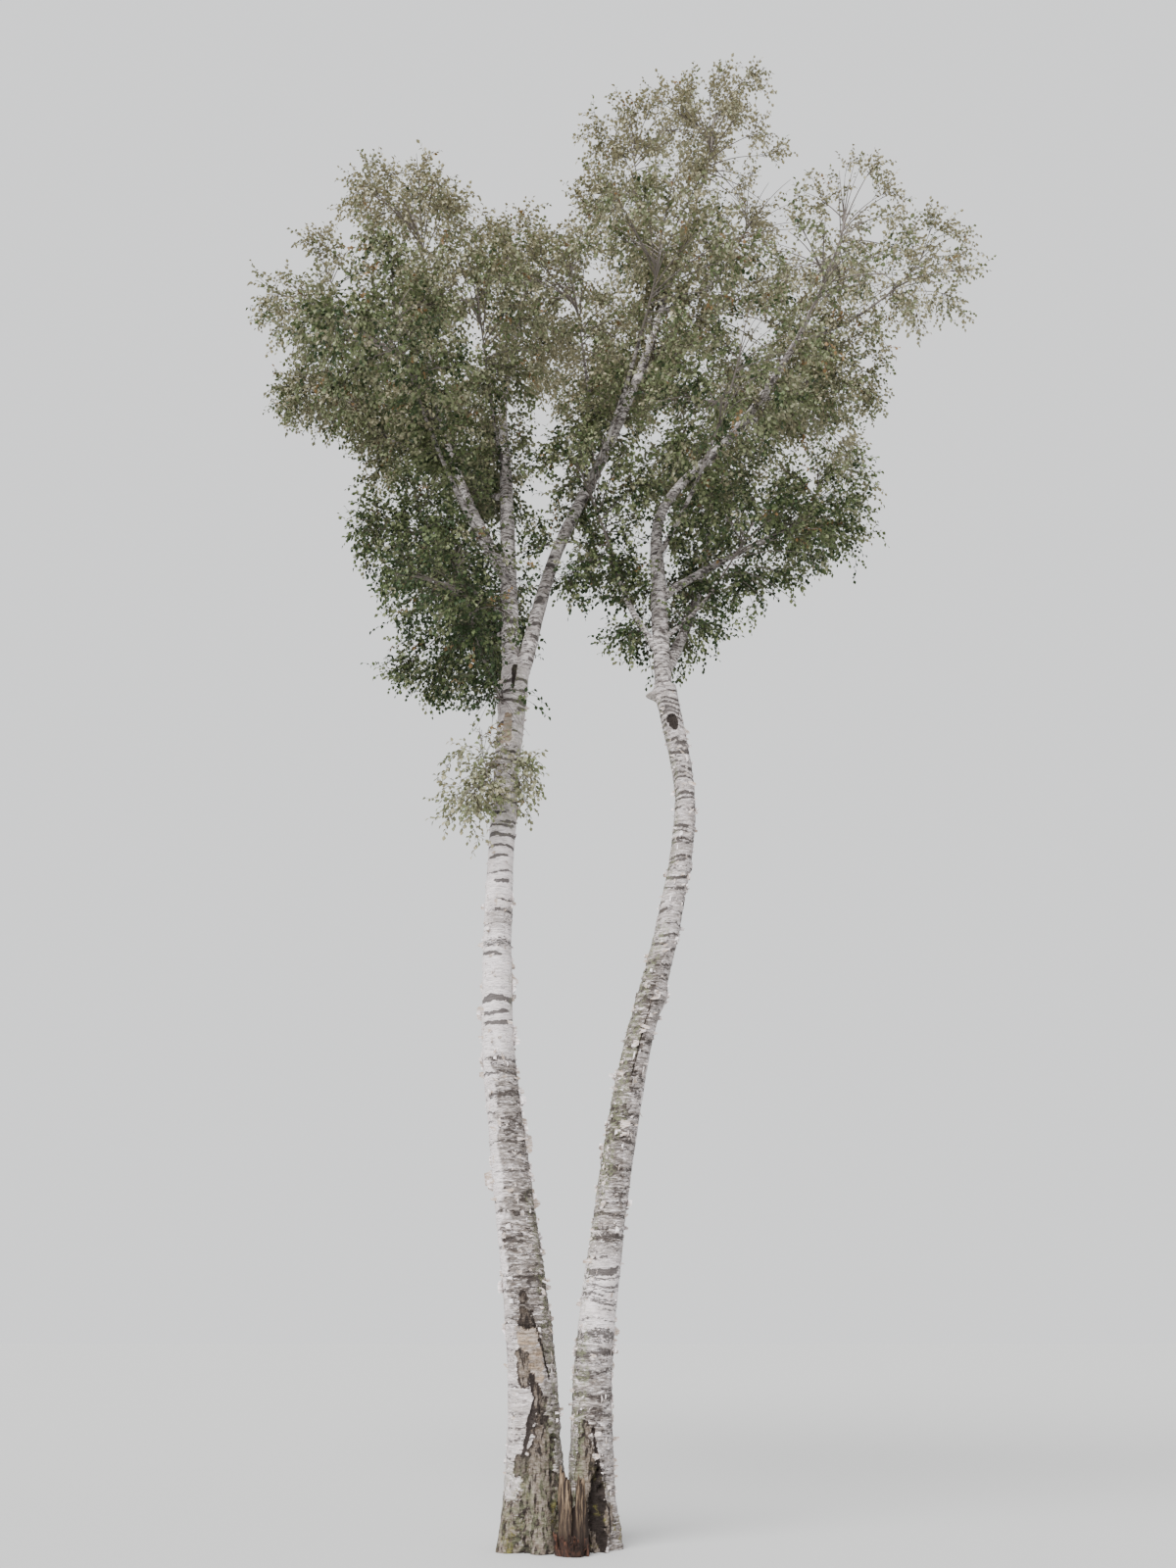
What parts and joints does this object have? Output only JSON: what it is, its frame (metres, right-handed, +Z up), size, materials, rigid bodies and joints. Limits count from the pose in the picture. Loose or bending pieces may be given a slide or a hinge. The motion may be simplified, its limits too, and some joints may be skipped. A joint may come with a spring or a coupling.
{
  "type": "paper birch tree",
  "caption": "Mature paper birch with white-barked forking stems leaning apart from one foot, an old hollow stump and a high open crown.",
  "frame": {"origin": "middle of the west stem's flat cut at ground level", "axes": "+Z up, +X east along the line from the west stem's foot to the east stem's, -Y towards the viewer in front"},
  "size_m": [8.8943, 6.3174, 17.1968],
  "materials": {
    "white_bark": "white papery bark with dark level bands, torn and furrowed near the ground",
    "upper_bark": "greyish white bark, darker on thin boughs",
    "rotten_wood": "rotted heartwood, splintered, dark brown and orange",
    "leaves": "thin leaves, dark green within and yellow-green at the top, with dark twigs"
  },
  "bodies": {
    "root": {"west_stem": "white_bark", "east_stem": "white_bark", "west_leader": "upper_bark", "west_long_leader": "upper_bark", "east_leader": "upper_bark", "west_side_bough": "upper_bark", "west_front_bough": "upper_bark", "west_back_bough": "upper_bark", "west_heart_bough": "upper_bark", "west_low_left_bough": "upper_bark", "west_low_back_bough": "upper_bark", "west_shoulder_bough": "upper_bark", "west_outer_bough": "upper_bark", "west_skirt_bough": "upper_bark", "west_sprout_bough": "upper_bark", "long_left_bough": "upper_bark", "long_right_bough": "upper_bark", "long_front_bough": "upper_bark", "long_back_bough": "upper_bark", "long_mid_right_bough": "upper_bark", "long_mid_left_bough": "upper_bark", "east_outer_bough": "upper_bark", "east_front_bough": "upper_bark", "east_back_bough": "upper_bark", "east_mid_bough": "upper_bark", "east_front_low_bough": "upper_bark", "east_long_bough": "upper_bark", "east_fork_bough": "upper_bark", "east_stub_bough": "upper_bark", "east_low_bough": "upper_bark", "hollow_stump": "rotten_wood", "west_leader_foliage": "leaves", "west_long_leader_foliage": "leaves", "east_leader_foliage": "leaves", "west_side_foliage": "leaves", "west_front_foliage": "leaves", "west_back_foliage": "leaves", "west_heart_foliage": "leaves", "west_low_left_foliage": "leaves", "west_low_back_foliage": "leaves", "west_shoulder_foliage": "leaves", "west_outer_foliage": "leaves", "west_skirt_foliage": "leaves", "west_sprout_foliage": "leaves", "long_left_foliage": "leaves", "long_right_foliage": "leaves", "long_front_foliage": "leaves", "long_back_foliage": "leaves", "long_mid_right_foliage": "leaves", "long_mid_left_foliage": "leaves", "east_outer_foliage": "leaves", "east_front_foliage": "leaves", "east_back_foliage": "leaves", "east_mid_foliage": "leaves", "east_front_low_foliage": "leaves", "east_long_foliage": "leaves", "east_fork_foliage": "leaves", "east_stub_foliage": "leaves", "east_low_foliage": "leaves"}
  },
  "joints": []
}
